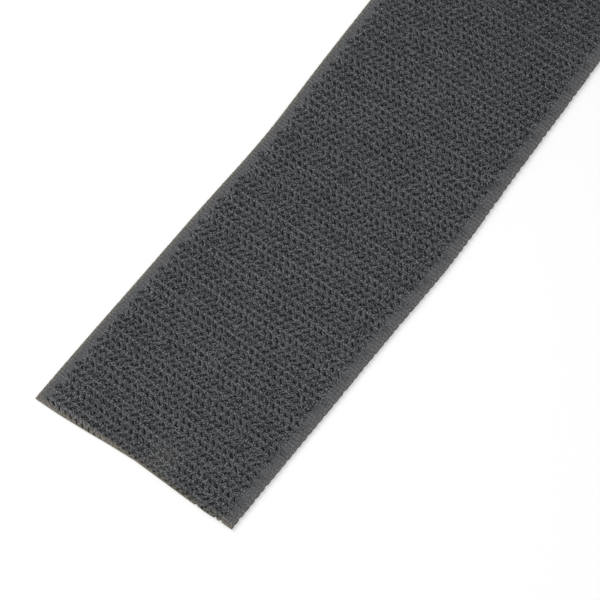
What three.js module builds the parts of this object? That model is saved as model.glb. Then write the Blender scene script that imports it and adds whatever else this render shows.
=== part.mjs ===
// A roll of woven hook tape: a paper core, the tape wound on it with its hooks inwards, and the
// outer length lying flat on the table with its hooks up. Its cut end can be lifted: there the tape is
// a chain of short stretches that turn about bend lines.
// Millimetres. +X runs from the cut end to the roll, +Y across the tape to its left, +Z up.
import * as THREE from "three";

// Tape: its length, its width and the layers of its section, from the table up
const TAPE_LENGTH = 3000;
const TAPE_WIDTH = 50;
const SELVEDGE_WIDTH = 2.95;
const COAT_THICKNESS = 0.14;
const WEB_THICKNESS = 0.44;
const PILE_BED_DEPTH = 0.15;
const EDGE_ROUND = 0.14;

// Hooks: one bent monofilament each, sampled from the woven lattice
const HOOK_HEIGHT = 1.38;
const FILAMENT_DIAMETER = 0.26;
const HOOK_REACH = 0.74;
const HOOK_CROWN_RISE = 0.4;
const HOOK_TIP_DROP = 0.56;
const HOOK_SLANT = THREE.MathUtils.degToRad(34);
const SHOULDER_TILT = THREE.MathUtils.degToRad(22.5);
const CROWN_TILT = THREE.MathUtils.degToRad(90);
const HOOK_COLUMNS = 8;
const HOOK_ROW_PITCH = 5.2;
const ROWS_PER_SLANT = 2;
const STRAND_SIDES = 3;

// Laid length: from the cut end to the roll, bowed sideways as it lies
const LAID_LENGTH = 200;
const LIFTED_LENGTH = 70;
const BEND_LINES = 3;
const BEND_LINE_PITCH = 16;
const BOW_RADIUS = 1698;
const CUT_SKEW = 3.26;
const CUT_HOLLOW = 0.85;
const BOW_STEP = 26;
const CROSS_PANELS = 4;

// Core and winding
const CORE_BORE = 38;
const CORE_WALL = 3;
const CORE_CHAMFER = 0.4;
const CORE_SIDES = 48;
const WINDING_SLACK = 0.2;
const STEPS_PER_TURN = 22;

// Adhesive tab that holds the tape's inner end to the core
const TAB_ARC = THREE.MathUtils.degToRad(42);
const TAB_INSET = 5;
const TAB_SEGMENTS = 8;

// Clearances between neighbouring solids
const SEAT_GAP = 0.15;
const JOIN_GAP = 0.3;

// Sizes that follow from those above
const END_LENGTH = LIFTED_LENGTH - (BEND_LINES - 1) * BEND_LINE_PITCH;
const FIELD_WIDTH = TAPE_WIDTH - 2 * SELVEDGE_WIDTH;
const GROUND_TOP = COAT_THICKNESS + WEB_THICKNESS;
const BED_FLOOR = GROUND_TOP - PILE_BED_DEPTH;
const HOOK_STEM = HOOK_HEIGHT - HOOK_CROWN_RISE;
const CORE_RADIUS = CORE_BORE / 2 + CORE_WALL;
const CORE_LENGTH = TAPE_WIDTH;
const TAB_WIDTH = TAPE_WIDTH - 2 * TAB_INSET;
const TURN_PITCH = GROUND_TOP + HOOK_HEIGHT + WINDING_SLACK;
const STEP_ANGLE = (2 * Math.PI) / STEPS_PER_TURN;
const INNER_TURN_RADIUS = CORE_RADIUS + HOOK_HEIGHT + GROUND_TOP;
const WINDING_STEPS = windingSteps(TAPE_LENGTH - LAID_LENGTH);
const OUTER_TURN_RADIUS = INNER_TURN_RADIUS + (TURN_PITCH * (WINDING_STEPS - 1)) / STEPS_PER_TURN;
const ROLL_CENTRE_Z = OUTER_TURN_RADIUS * Math.cos(STEP_ANGLE / 2);
const WINDING_END_X = -OUTER_TURN_RADIUS * Math.sin(STEP_ANGLE / 2);
const STRAND_TURN = (2 * Math.PI) / STRAND_SIDES;
const STRAND_RADIUS = FILAMENT_DIAMETER * Math.sqrt(Math.PI / (2 * STRAND_SIDES * Math.sin(STRAND_TURN)));
const UP = new THREE.Vector3(0, 0, 1);

// Finishes
const FILAMENT = { color: 0x46474a, roughness: 0.55 };
const WEAVE = { color: 0x56575a, roughness: 0.8 };
const COATING = { color: 0x4a4638, roughness: 0.6 };
const CORE_PAPER = { color: 0xa88a63, roughness: 0.9 };
const TAB_PAPER = { color: 0xd9d2bd, roughness: 0.7 };

// Steps of a spiral whose middle line holds the given length of tape
function windingSteps(length) {
  const firstRadius = INNER_TURN_RADIUS - GROUND_TOP / 2;
  const turns = (Math.sqrt(firstRadius ** 2 + (TURN_PITCH * length) / Math.PI) - firstRadius) / TURN_PITCH;
  return Math.round(turns * STEPS_PER_TURN);
}

// The cut end is neither square nor quite straight
function cutLine(across) {
  const share = across / (TAPE_WIDTH / 2);
  return (-CUT_SKEW / 2) * share + CUT_HOLLOW * (1 - share ** 2);
}

// Places a point of the straight tape, by its distance from the cut end, on the bowed laid length
function lay(along, across, height) {
  const toCut = Math.max(0, 1 - along / END_LENGTH);
  const turn = (LAID_LENGTH - along - cutLine(across) * toCut) / BOW_RADIUS;
  const radius = BOW_RADIUS - across;
  const x = WINDING_END_X - JOIN_GAP - radius * Math.sin(turn);
  return new THREE.Vector3(x, BOW_RADIUS - radius * Math.cos(turn), height);
}

// Points along a straight line of the section, so that the cut end can curve across it
function panels(fromAcross, toAcross, height) {
  return Array.from({ length: CROSS_PANELS + 1 }, (_, i) => {
    const across = THREE.MathUtils.lerp(fromAcross, toAcross, i / CROSS_PANELS);
    return new THREE.Vector2(across, height);
  });
}

// Extrudes a section along the tape between two distances from the cut end and lays it down
function laidStrip(section, from, to) {
  const steps = Math.ceil((to - from) / BOW_STEP);
  const geometry = new THREE.ExtrudeGeometry(new THREE.Shape(section), {
    depth: to - from,
    steps,
    bevelEnabled: false,
  });
  const position = geometry.attributes.position;
  for (let i = 0; i < position.count; i += 1) {
    const point = lay(from + position.getZ(i), position.getX(i), position.getY(i));
    position.setXYZ(i, point.x, point.y, point.z);
  }
  geometry.computeVertexNormals();
  return geometry;
}

// Ground weave: round selvedges on both sides of a shallow bed that takes the hooks' backing
function webSection() {
  const half = TAPE_WIDTH / 2;
  const bed = FIELD_WIDTH / 2;
  const middle = (COAT_THICKNESS + GROUND_TOP) / 2;
  return [
    ...panels(-half + EDGE_ROUND, half - EDGE_ROUND, COAT_THICKNESS),
    new THREE.Vector2(half, middle),
    new THREE.Vector2(half - EDGE_ROUND, GROUND_TOP),
    new THREE.Vector2(bed, GROUND_TOP),
    ...panels(bed, -bed, BED_FLOOR),
    new THREE.Vector2(-bed, GROUND_TOP),
    new THREE.Vector2(-half + EDGE_ROUND, GROUND_TOP),
    new THREE.Vector2(-half, middle),
  ];
}

// A plain layer of the tape, as wide as given, between two heights
function layerSection(width, bottom, top) {
  return [...panels(-width / 2, width / 2, bottom), ...panels(width / 2, -width / 2, top)];
}

function coatSection() {
  return layerSection(TAPE_WIDTH - 2 * EDGE_ROUND, 0, COAT_THICKNESS);
}

// A three-sided strand, as stout as the round filament: stem, shoulder, crown and a blade-cut tip.
// Its first three points lie on the backing, and its tip is the edge between its last two.
function strandPoints(root, lean) {
  const side = new THREE.Vector3().crossVectors(UP, lean);
  const place = (out, up) => root.clone().addScaledVector(lean, out).addScaledVector(UP, up);
  const rings = [
    { centre: place(0, 0), tilt: 0 },
    { centre: place(0, HOOK_STEM), tilt: SHOULDER_TILT },
    { centre: place(HOOK_REACH / 2, HOOK_HEIGHT - STRAND_RADIUS / 2), tilt: CROWN_TILT },
  ];
  const points = [];
  for (const { centre, tilt } of rings) {
    const normal = lean.clone().multiplyScalar(Math.cos(tilt)).addScaledVector(UP, -Math.sin(tilt));
    for (let corner = 0; corner < STRAND_SIDES; corner += 1) {
      const turn = corner * STRAND_TURN;
      const point = centre.clone().addScaledVector(normal, STRAND_RADIUS * Math.cos(turn));
      points.push(point.addScaledVector(side, STRAND_RADIUS * Math.sin(turn)));
    }
  }
  const tip = place(HOOK_REACH, HOOK_HEIGHT - HOOK_TIP_DROP);
  points.push(tip.clone().addScaledVector(side, STRAND_RADIUS / 2));
  points.push(tip.clone().addScaledVector(side, -STRAND_RADIUS / 2));
  return points;
}

// Faces of a strand whose points start at the given place in the list of points
function strandFaces(first) {
  const crown = first + 2 * STRAND_SIDES;
  const [left, right] = [crown + STRAND_SIDES, crown + STRAND_SIDES + 1];
  const faces = [];
  for (let ring = first; ring < crown; ring += STRAND_SIDES) {
    for (let corner = 0; corner < STRAND_SIDES; corner += 1) {
      const next = (corner + 1) % STRAND_SIDES;
      faces.push([ring + corner, ring + next, ring + STRAND_SIDES + next]);
      faces.push([ring + corner, ring + STRAND_SIDES + next, ring + STRAND_SIDES + corner]);
    }
  }
  faces.push([crown, crown + 1, left], [crown + 1, crown + 2, right], [crown + 1, right, left]);
  faces.push([crown + 2, crown, right], [crown, left, right]);
  return faces;
}

// Roots of the hooks over a stretch of the tape, slanted one way and then the other by pairs of rows
function hookRoots(from, to) {
  const rows = Math.floor((to - from) / HOOK_ROW_PITCH);
  const margin = (to - from - (rows - 1) * HOOK_ROW_PITCH) / 2;
  const columnPitch = FIELD_WIDTH / HOOK_COLUMNS;
  const roots = [];
  for (let row = 0; row < rows; row += 1) {
    const along = from + margin + row * HOOK_ROW_PITCH;
    const slant = Math.floor(row / ROWS_PER_SLANT) % 2 ? HOOK_SLANT : -HOOK_SLANT;
    const lean = new THREE.Vector3(Math.sin(slant), Math.cos(slant), 0);
    for (let column = 0; column < HOOK_COLUMNS; column += 1) {
      const across = (column + 0.5) * columnPitch - FIELD_WIDTH / 2;
      const middle = lay(along, across, GROUND_TOP);
      roots.push({ root: middle.addScaledVector(lean, -HOOK_REACH / 2), lean });
    }
  }
  return roots;
}

// Outline of the hooks' backing on the table, anticlockwise seen from above
function fieldOutline(from, to) {
  const half = FIELD_WIDTH / 2 - SEAT_GAP;
  const steps = Math.ceil((to - from) / BOW_STEP);
  const outline = panels(half, -half, 0).map(({ x }) => lay(from, x, 0));
  for (let step = 1; step <= steps; step += 1) {
    outline.push(lay(THREE.MathUtils.lerp(from, to, step / steps), -half, 0));
  }
  for (let step = steps; step > 0; step -= 1) {
    outline.push(lay(THREE.MathUtils.lerp(from, to, step / steps), half, 0));
  }
  return outline;
}

// Hooks over a stretch of the tape, fused to the slice of backing that they are woven into
function hookField(from, to) {
  const outline = fieldOutline(from, to);
  const strands = hookRoots(from, to).map(({ root, lean }) => strandPoints(root, lean));
  const rootRings = strands.map((points) => points.slice(0, STRAND_SIDES));
  const count = outline.length;
  const atHeight = (height) => outline.map(({ x, y }) => new THREE.Vector3(x, y, height));
  const points = [...atHeight(BED_FLOOR), ...atHeight(GROUND_TOP)];
  const firsts = strands.map((strand) => points.push(...strand) - strand.length);
  const faces = THREE.ShapeUtils.triangulateShape(outline, []).map(([a, b, c]) => [a, c, b]);
  for (let i = 0; i < count; i += 1) {
    const next = (i + 1) % count;
    faces.push([i, next, count + next], [i, count + next, count + i]);
  }
  const onTop = (i) => {
    const hole = Math.floor((i - count) / STRAND_SIDES);
    return hole < 0 ? count + i : firsts[hole] + ((i - count) % STRAND_SIDES);
  };
  faces.push(...THREE.ShapeUtils.triangulateShape(outline, rootRings).map((face) => face.map(onTop)));
  faces.push(...firsts.flatMap(strandFaces));
  return closedMesh(points, faces);
}

function closedMesh(points, faces) {
  const geometry = new THREE.BufferGeometry().setFromPoints(points);
  geometry.setIndex(faces.flat());
  geometry.computeVertexNormals();
  return geometry;
}

// Middle of one step's edge on the winding: the outer end lies flat on the table at the bottom
function windingPoint(step, depth) {
  const angle = (step - 0.5) * STEP_ANGLE;
  const radius = OUTER_TURN_RADIUS - (TURN_PITCH * Math.max(0, step - 1)) / STEPS_PER_TURN - depth;
  return new THREE.Vector2(radius * Math.sin(angle), ROLL_CENTRE_Z - radius * Math.cos(angle));
}

// The wound tape: one unbroken strip from its flat outer end to the core
function winding() {
  const half = TAPE_WIDTH / 2;
  const corners = [[0, half], [0, -half], [GROUND_TOP, -half], [GROUND_TOP, half]];
  const sides = corners.length;
  const points = [];
  const faces = [[0, 1, 2], [0, 2, 3]];
  for (let step = 0; step <= WINDING_STEPS; step += 1) {
    for (const [depth, across] of corners) {
      const point = windingPoint(step, depth);
      points.push(new THREE.Vector3(point.x, across, point.y));
    }
    const here = sides * step;
    for (let corner = 0; corner < sides && step < WINDING_STEPS; corner += 1) {
      const next = (corner + 1) % sides;
      faces.push([here + corner, here + sides + next, here + next]);
      faces.push([here + corner, here + sides + corner, here + sides + next]);
    }
  }
  const end = sides * WINDING_STEPS;
  faces.push([end, end + 2, end + 1], [end, end + 3, end + 2]);
  return closedMesh(points, faces);
}

// Least distance from the inside of each turn to the outside of the turn beneath it
function windingGap() {
  let least = Infinity;
  for (let step = 0; step + STEPS_PER_TURN / 2 <= WINDING_STEPS; step += 0.5) {
    const inside = edgePoint(step, GROUND_TOP);
    for (let other = step + STEPS_PER_TURN / 2; other <= WINDING_STEPS; other += 0.5) {
      least = Math.min(least, inside.distanceTo(edgePoint(other, 0)));
    }
  }
  return least;
}

// A point on the winding's straight facets, at a whole or half step
function edgePoint(step, depth) {
  const low = Math.floor(step);
  const start = windingPoint(low, depth);
  return low === step ? start : start.lerp(windingPoint(low + 1, depth), step - low);
}

function coreTube() {
  const half = CORE_LENGTH / 2;
  const inner = CORE_BORE / 2;
  const profile = [
    [inner, -half + CORE_CHAMFER],
    [inner + CORE_CHAMFER, -half],
    [CORE_RADIUS - CORE_CHAMFER, -half],
    [CORE_RADIUS, -half + CORE_CHAMFER],
    [CORE_RADIUS, half - CORE_CHAMFER],
    [CORE_RADIUS - CORE_CHAMFER, half],
    [inner + CORE_CHAMFER, half],
    [inner, half - CORE_CHAMFER],
    [inner, -half + CORE_CHAMFER],
  ];
  return new THREE.LatheGeometry(profile.map(([r, y]) => new THREE.Vector2(r, y)), CORE_SIDES);
}

// Pad between the core and the tape's inner end, along the start of the first turn
function startTab() {
  const endAngle = (WINDING_STEPS - 0.5) * STEP_ANGLE - Math.PI / 2;
  const inner = CORE_RADIUS + SEAT_GAP;
  const outer = (CORE_RADIUS + HOOK_HEIGHT) * Math.cos(STEP_ANGLE / 2) - SEAT_GAP;
  const outline = new THREE.Shape();
  outline.absarc(0, 0, outer, endAngle - TAB_ARC, endAngle, false);
  outline.absarc(0, 0, inner, endAngle, endAngle - TAB_ARC, true);
  const options = { depth: TAB_WIDTH, bevelEnabled: false, curveSegments: TAB_SEGMENTS };
  const geometry = new THREE.ExtrudeGeometry(outline, options);
  geometry.translate(0, 0, -TAB_WIDTH / 2);
  geometry.rotateX(Math.PI / 2);
  return geometry;
}

function piece(name, geometry, finish) {
  const mesh = new THREE.Mesh(geometry, new THREE.MeshStandardMaterial({ ...finish, metalness: 0 }));
  mesh.name = name;
  return mesh;
}

// The roll stands on the flat of its outer turn, with the core at its centre
const roll = new THREE.Group();
const axle = new THREE.Group();
axle.position.set(0, 0, ROLL_CENTRE_Z);
axle.add(piece("core_tube", coreTube(), CORE_PAPER));
axle.add(piece("start_tab", startTab(), TAB_PAPER));
roll.add(axle, piece("wound_web", winding(), WEAVE));

// One stretch of the laid tape: its back coating, its ground weave and its hooks
function stretch(name, from, to) {
  const group = new THREE.Group();
  group.add(
    piece(`${name}_back_coat`, laidStrip(coatSection(), from, to), COATING),
    piece(`${name}_web`, laidStrip(webSection(), from, to), WEAVE),
    piece(`${name}_hook_field`, hookField(from, to), FILAMENT),
  );
  return group;
}

// The stretches from the roll to the cut end, with a bend line between each and the next
const stretches = [stretch("laid", LIFTED_LENGTH, LAID_LENGTH)];
for (let line = 1; line < BEND_LINES; line += 1) {
  const from = LIFTED_LENGTH - line * BEND_LINE_PITCH;
  stretches.push(stretch(`bend_${line}`, from, from + BEND_LINE_PITCH - JOIN_GAP));
}
stretches.push(stretch("end", 0, END_LENGTH - JOIN_GAP));

const part = new THREE.Group();
part.add(roll, ...stretches);

// The origin is the middle of the part's footprint, on the table
const box = new THREE.Box3().setFromObject(part);
const centre = box.getCenter(new THREE.Vector3());
part.position.set(-centre.x, -centre.y, -box.min.z);
const turns = WINDING_STEPS / STEPS_PER_TURN;
console.log(`winding of ${turns.toFixed(1)} turns, least gap to itself ${windingGap().toFixed(2)} mm`);

export default part;
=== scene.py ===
# A roll of woven hook tape: the laid length with its weave and every hook, the wound turns, and the core.
# Sizes are millimetres in the tape's own coordinates: along it from the cut end, across it to the left,
# and height above its back. Meshes are made in metres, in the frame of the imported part.
import math

import bpy
import numpy as np
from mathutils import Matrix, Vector


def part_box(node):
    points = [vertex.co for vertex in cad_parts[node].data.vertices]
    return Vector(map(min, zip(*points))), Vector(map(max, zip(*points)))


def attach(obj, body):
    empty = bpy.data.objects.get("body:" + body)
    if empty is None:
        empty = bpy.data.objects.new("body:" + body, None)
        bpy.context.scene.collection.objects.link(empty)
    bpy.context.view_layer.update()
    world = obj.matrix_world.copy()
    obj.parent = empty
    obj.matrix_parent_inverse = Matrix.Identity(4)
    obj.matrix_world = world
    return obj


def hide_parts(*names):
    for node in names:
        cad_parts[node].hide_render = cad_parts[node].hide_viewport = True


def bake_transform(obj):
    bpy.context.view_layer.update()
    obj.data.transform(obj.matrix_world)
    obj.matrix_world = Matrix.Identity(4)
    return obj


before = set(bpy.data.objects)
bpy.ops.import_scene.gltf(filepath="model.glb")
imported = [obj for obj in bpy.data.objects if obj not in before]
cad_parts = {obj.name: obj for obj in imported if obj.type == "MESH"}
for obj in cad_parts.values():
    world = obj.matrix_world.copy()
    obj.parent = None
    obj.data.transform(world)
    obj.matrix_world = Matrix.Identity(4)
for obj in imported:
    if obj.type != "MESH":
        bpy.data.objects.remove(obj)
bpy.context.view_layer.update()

MM = 0.001

# Tape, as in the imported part
TAPE_WIDTH = 50.0
COAT_THICKNESS = 0.14
GROUND_TOP = 0.58
HOOK_HEIGHT = 1.38
WINDING_SLACK = 0.2
STEPS_PER_TURN = 22
LAID_LENGTH = 200.0
LIFTED_LENGTH = 70.0
BEND_LINES = 3
BEND_LINE_PITCH = 16.0
BOW_RADIUS = 1698.0
JOIN_GAP = 0.3

# How the cut end and the long edges run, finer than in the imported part. A nick has a place across the tape
# and a depth, and the sections have some points within its reach, which is counted in its widths.
CUT_SKEW = 3.06
CUT_HOLLOW = 0.8
CUT_HOLLOW_ACROSS = 1.0
CUT_HOLLOW_WIDTH = 11.7
CUT_MEAN = 0.05
CUT_RAGGED = 0.08
RAGGED_WAVES = (2.9, 5.3, 8.7)
CUT_NICKS = ((-22.2, 0.55), (-20.9, 0.45), (-16.1, 0.4))
NICK_WIDTH = 0.24
NICK_REACH = 1.6
NICK_POINTS = 5
END_SWAY = 0.4
END_SWAY_LENGTH = 26.0
WANDER = 0.7
WANDER_ALONG = 77.0
WANDER_LENGTH = 17.0

# Lattice of the hooks: rows across the tape, two slanted one way and then two the other, each set sideways
# from the row before it. The columns close up a little towards the selvedges.
ROW_PITCH = 1.732
FIRST_ROW = 1.71
HOOK_COLUMNS = 29
COLUMN_PITCH = 1.6
COLUMN_SQUEEZE = 0.012
ROW_SHIFTS = np.array([-0.28, 0.4, -1.37, -0.39])
HOOK_SLANT = math.radians(40)
SLANT_SPREAD = math.radians(8)
ROWS_PER_SLANT = 2

# What scatters the hooks, and a salt for each use, which keeps the uses apart
SCATTER_WAVES = (12.9898, 78.233, 37.719)
SCATTER_GAIN = 43758.5453
DRIFT_WAVES = ((0.31, 0.17, 1.3), (0.13, -0.39, 2.1), (0.53, 0.61, 4.7))
SLANT_SALT, LEAN_SALT, ALONG_SALT, ACROSS_SALT, REACH_SALT, RISE_SALT = range(1, 7)
PIT_SALT, LOOP_SALT, PICK_SALT, PIT_ALONG_SALT, PIT_ACROSS_SALT = 7, 9, 10, 13, 14
KNUCKLE_SALTS = (11, 12)
DRIFT_SALT = 1

# Weave: gaps by each hook, knuckles and weft ridges between them, ribbed selvedges and their loops. Gaps and
# knuckles are placed along and across from their hook. A pit's size is half its length and half its width.
# The last number of a pit is 1 where it slants as the hook does, and -1 where it slants the other way.
# A share is a mean, and how far single ones stray from it.
SELVEDGE_WIDTH = 2.4
RIB_PITCH = ROW_PITCH / 2
RIB_RISE = 0.1
BACK_RIB_RISE = 0.06
RIDGE_RISE = 0.04
RIDGE_SHIFT = 0.2
WEFT_RISE = 0.03
WEFT_PITCH = ROW_PITCH / 4
# Weft crests and knuckles are painted lighter in the material, a painted highlight on their tops
CREST_SHARPNESS = 12
CREST_SHARE = (0.4, 0.3)
BED_DEPTH = 0.04
PIT_DEPTH = 0.3
PIT_SIZE_LEFT = (0.58, 0.158)
PIT_SIZE_RIGHT = (0.32, 0.175)
PITS_RIGHT = ((-0.25, 0.34, -1), (0.21, -0.18, 1))
PIT_SPREAD = 0.06
# The gaps' share also paints them near black in the material, a painted shade
PIT_SHARE = (0.85, 0.15)
TIP_PIT_SHARE = 0.84
KNUCKLES_LEFT = ((0.74, 0.7), (-0.36, 0.8))
KNUCKLES_RIGHT = ((0.36, 0.56), (-1.03, -0.34))
KNUCKLE_RADIUS = 0.27
KNUCKLE_RISE = 0.05
KNUCKLE_SHARE = (0.7, 0.25)
SCALLOP_LEFT = 0.06
SCALLOP_RIGHT = 0.26
SCALLOP_SHARE = (0.6, 0.4)
EDGE_BULGE_RIGHT = 0.24
EDGE_ROUND = 0.14

# Brown stain of the cut and the edges
CUT_STAIN = 1.4
EDGE_STAIN_LEFT = 0.9
EDGE_STAIN_RIGHT = 0.32
EDGE_STAIN_WIDTH = 1.0

# Worn place behind the cut, where the hooks are pressed down and the gaps closed
CRUSHED_ALONG = 5.0
CRUSHED_ACROSS = -4.8
CRUSHED_RADIUS = 3.0
CRUSH_DEPTH = 0.4
CRUSHED_PITS = 0.65
CRUSHED_STAIN = 0.2

# Sizes of a hook, and of the stub across from it
HOOK_REACH = 1.15
HOOK_CURL = math.radians(200)
LEAN_SPREAD = math.radians(13)
FILAMENT_RADIUS = 0.12
ROOT_DEPTH = 0.22
ROOT_SHARE = 0.85
ROOT_SPREAD = 0.08
REACH_SPREAD = 0.18
RISE_SPREAD = 0.07
STUB_HEIGHT = 0.6
STUB_ROOT_SHARE = 1.1
STUB_TIP_SHARE = 1.2
CUT_MARGIN = 0.35

# Winding: hooks in the outer columns only, and a raised mass between them in place of the rest
WOUND_COLUMNS = 2
HOOKS_STOP_BEFORE_END = 2.0
PILE_HALF = 17.0
PILE_WALL = 0.4
PILE_SHARE = 0.95
PILE_FROM = 12.0
PILE_CLEAR_OF_TAB = 25.0
PILE_FADE = 4.0

# Sizes of the core: plies of paper wound in strips
CORE_WALL = 3.0
CORE_PLIES = 6
PLY_STRIP = 34.0
PLY_UNEVEN = 0.16
PLY_ROUND = 0.06
PLY_GROOVE = 0.28
PLY_LAP = 0.12
CORE_END_MARGIN = 0.5
CORE_SEED = 5

# How finely the meshes are made, and the angles in degrees beyond which an edge stays sharp
FINE_STEP = ROW_PITCH / 12
COARSE_STEP = ROW_PITCH / 8
HIDDEN_STEP = 1.8
FIRST_HIDDEN_STEP = 1.0
SHOWN_PAST_TURN = 20.0
FINE_COLUMN_POINTS = 9
COARSE_COLUMN_POINTS = 4
SELVEDGE_POINTS = 7
BACK_POINTS = 7
COAT_POINTS = 9
ARCH_STEPS = 6
HOOK_SIDES = 6
WOUND_HOOK_SIDES = 4
CORE_SIDES = 144
BORE_POINTS = 36
OUTSIDE_POINTS = 6
LENGTH_SAMPLES = 40
WEAVE_SHARP = 40
HOOK_SHARP = 70
CORE_SHARP = 35

# Places on the bake maps: a skin's quads and its two ends in each band, and a hook's parts in its own cell
WOUND_BANDS = 13
SKIN_SHARE = 0.96
END_WIDTH = 0.96
END_LOW = 0.035
END_RISE = 0.03
CELL_START = 0.02
CELL_WALL_WIDTH = 0.8
CELL_END_MIDDLE = 0.92
CELL_END_RADIUS = 0.06
HOOK_CELL = (0.02, 0.7)
STUB_CELL = (0.74, 0.98)

# Roll's place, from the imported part
core_low, core_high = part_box("core_tube")
ROLL_X = (core_low.x + core_high.x) / 2 / MM
ROLL_Y = (core_low.y + core_high.y) / 2 / MM
ROLL_CENTRE_Z = (core_low.z + core_high.z) / 2 / MM
CORE_RADIUS = (core_high.z - core_low.z) / 2 / MM
CORE_LENGTH = (core_high.y - core_low.y) / MM

# Sizes that follow from those above
HALF_WIDTH = TAPE_WIDTH / 2
FIELD_HALF = HALF_WIDTH - SELVEDGE_WIDTH
MIDDLE_COLUMN = (HOOK_COLUMNS - 1) / 2
END_LENGTH = LIFTED_LENGTH - (BEND_LINES - 1) * BEND_LINE_PITCH
TURN_PITCH = GROUND_TOP + HOOK_HEIGHT + WINDING_SLACK
STEP_ANGLE = 2 * math.pi / STEPS_PER_TURN
FLAT_ANGLE = STEP_ANGLE / 2
INNER_TURN_RADIUS = CORE_RADIUS + HOOK_HEIGHT + GROUND_TOP
OUTER_TURN_RADIUS = ROLL_CENTRE_Z / math.cos(FLAT_ANGLE)
WINDING_STEPS = round((OUTER_TURN_RADIUS - INNER_TURN_RADIUS) / TURN_PITCH * STEPS_PER_TURN) + 1
WINDING_END_X = -OUTER_TURN_RADIUS * math.sin(FLAT_ANGLE)


# Shape of the tape

def cut_line(across):
    """How far the cut end runs in from the tape's nominal end: it is skewed, and hollow in the middle."""
    hollow = CUT_HOLLOW * np.exp(-((across - CUT_HOLLOW_ACROSS) / CUT_HOLLOW_WIDTH) ** 2)
    return CUT_MEAN - CUT_SKEW * across / TAPE_WIDTH + hollow


def lay(along, across, height):
    """A point of the laid length, which bows to one side, and wanders a little to the other."""
    turn = (LAID_LENGTH - along) / BOW_RADIUS
    sway = END_SWAY * np.maximum(0, 1 - along / END_SWAY_LENGTH) ** 2
    sway = sway + WANDER * np.exp(-((along - WANDER_ALONG) / WANDER_LENGTH) ** 2)
    radius = BOW_RADIUS - across + sway
    x = WINDING_END_X - JOIN_GAP - radius * np.sin(turn)
    y = BOW_RADIUS - radius * np.cos(turn)
    return np.stack([x, y, height], -1)


def winding_line(step, depth):
    """A point of the spiral in the roll's own plane. Each turn has a flat where the roll rests, which fades
    inwards."""
    angle = (step - 0.5) * STEP_ANGLE
    radius = OUTER_TURN_RADIUS - TURN_PITCH * np.maximum(0, step - 1) / STEPS_PER_TURN
    from_bottom = np.abs((angle + math.pi) % (2 * math.pi) - math.pi)
    flat = 1 - math.cos(FLAT_ANGLE) / np.cos(np.minimum(from_bottom, FLAT_ANGLE))
    share = (radius - CORE_RADIUS) / (OUTER_TURN_RADIUS - CORE_RADIUS)
    reach = radius * (1 - flat * share) - depth
    return reach * np.sin(angle), ROLL_CENTRE_Z - reach * np.cos(angle)


def winding_lengths():
    """Steps along the spiral, and the length of tape from its outer end to each."""
    steps = np.linspace(0, WINDING_STEPS, LENGTH_SAMPLES * WINDING_STEPS)
    x, z = winding_line(steps, GROUND_TOP / 2)
    lengths = np.concatenate([[0], np.cumsum(np.hypot(np.diff(x), np.diff(z)))])
    return steps, lengths


WOUND_STEPS, WOUND_LENGTHS = winding_lengths()
WOUND_START = LAID_LENGTH + JOIN_GAP
TAPE_END = WOUND_START + WOUND_LENGTHS[-1]


def tape_points(along, across, height):
    """Places points of the flat tape on the laid length or in the winding, in metres in the part's frame."""
    along, across, height = np.broadcast_arrays(along, across, height)
    along = along.astype(float)
    laid = lay(along, across, height)
    step = np.interp(along - WOUND_START, WOUND_LENGTHS, WOUND_STEPS)
    x, z = winding_line(step, height)
    wound = np.stack([x, across, z], -1)
    points = np.where((along > WOUND_START)[..., None], wound, laid)
    return (points + (ROLL_X, ROLL_Y, 0)) * MM


def unit(vectors):
    return vectors / np.linalg.norm(vectors, axis=-1, keepdims=True)


def tape_axes(along, across):
    """Directions along, across and out of the tape's hook side."""
    near = 0.05
    top = np.full_like(along, GROUND_TOP)
    ahead = tape_points(along + near, across, top) - tape_points(along - near, across, top)
    left = tape_points(along, across + near, top) - tape_points(along, across - near, top)
    ahead, left = unit(ahead), unit(left)
    return ahead, left, unit(np.cross(ahead, left))


# Meshes

WEAVE_SLOT, CUT_SLOT, BACK_SLOT = 0, 1, 2


def add_object(name, points, faces, maps, materials, slots=None, sharp=WEAVE_SHARP, shares=None):
    """A smooth-shaded mesh object. maps holds one list of face-corner places for each UV map, and shares
    one number from 0 to 1 for each point, by the name that the material reads it by."""
    mesh = bpy.data.meshes.new(name)
    mesh.from_pydata(np.asarray(points).reshape(-1, 3).tolist(), [], faces)
    for map_name, places in maps.items():
        layer = mesh.uv_layers.new(name=map_name)
        layer.data.foreach_set("uv", np.asarray(places, np.float32).ravel())
    for share_name, values in (shares or {}).items():
        layer = mesh.attributes.new(share_name, "FLOAT", "POINT")
        layer.data.foreach_set("value", np.asarray(values, np.float32).ravel())
    for material in materials:
        mesh.materials.append(material)
    if slots is not None:
        mesh.polygons.foreach_set("material_index", np.asarray(slots, np.int32))
    mesh.shade_smooth()
    mesh.set_sharp_from_angle(angle=math.radians(sharp))
    mesh.update()
    piece = bpy.data.objects.new(name, mesh)
    bpy.context.scene.collection.objects.link(piece)
    return piece


def closing(across):
    """Triangles that close a section: between the points of its hook side and those of its back, from side
    to side."""
    count = len(across)
    first, last = int(np.argmin(across)), int(np.argmax(across))
    upper = [(first + step) % count for step in range((last - first) % count + 1)]
    lower = [(first - step) % count for step in range((first - last) % count + 1)]
    triangles, up, down = [], 0, 0
    while up < len(upper) - 1 or down < len(lower) - 1:
        next_up = across[upper[up + 1]] if up < len(upper) - 1 else np.inf
        next_down = across[lower[down + 1]] if down < len(lower) - 1 else np.inf
        if next_up <= next_down:
            triangle = (upper[up], upper[up + 1], lower[down])
            up += 1
        else:
            triangle = (upper[up], lower[down + 1], lower[down])
            down += 1
        if len(set(triangle)) == 3:
            triangles.append(triangle)
    return np.array(triangles)


def at_corners(grid):
    """Values at the four corners of each quad, from those at the rows and columns of its points."""
    return np.stack([grid[:-1, :-1], grid[1:, :-1], grid[1:, 1:], grid[:-1, 1:]], 2)


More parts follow.
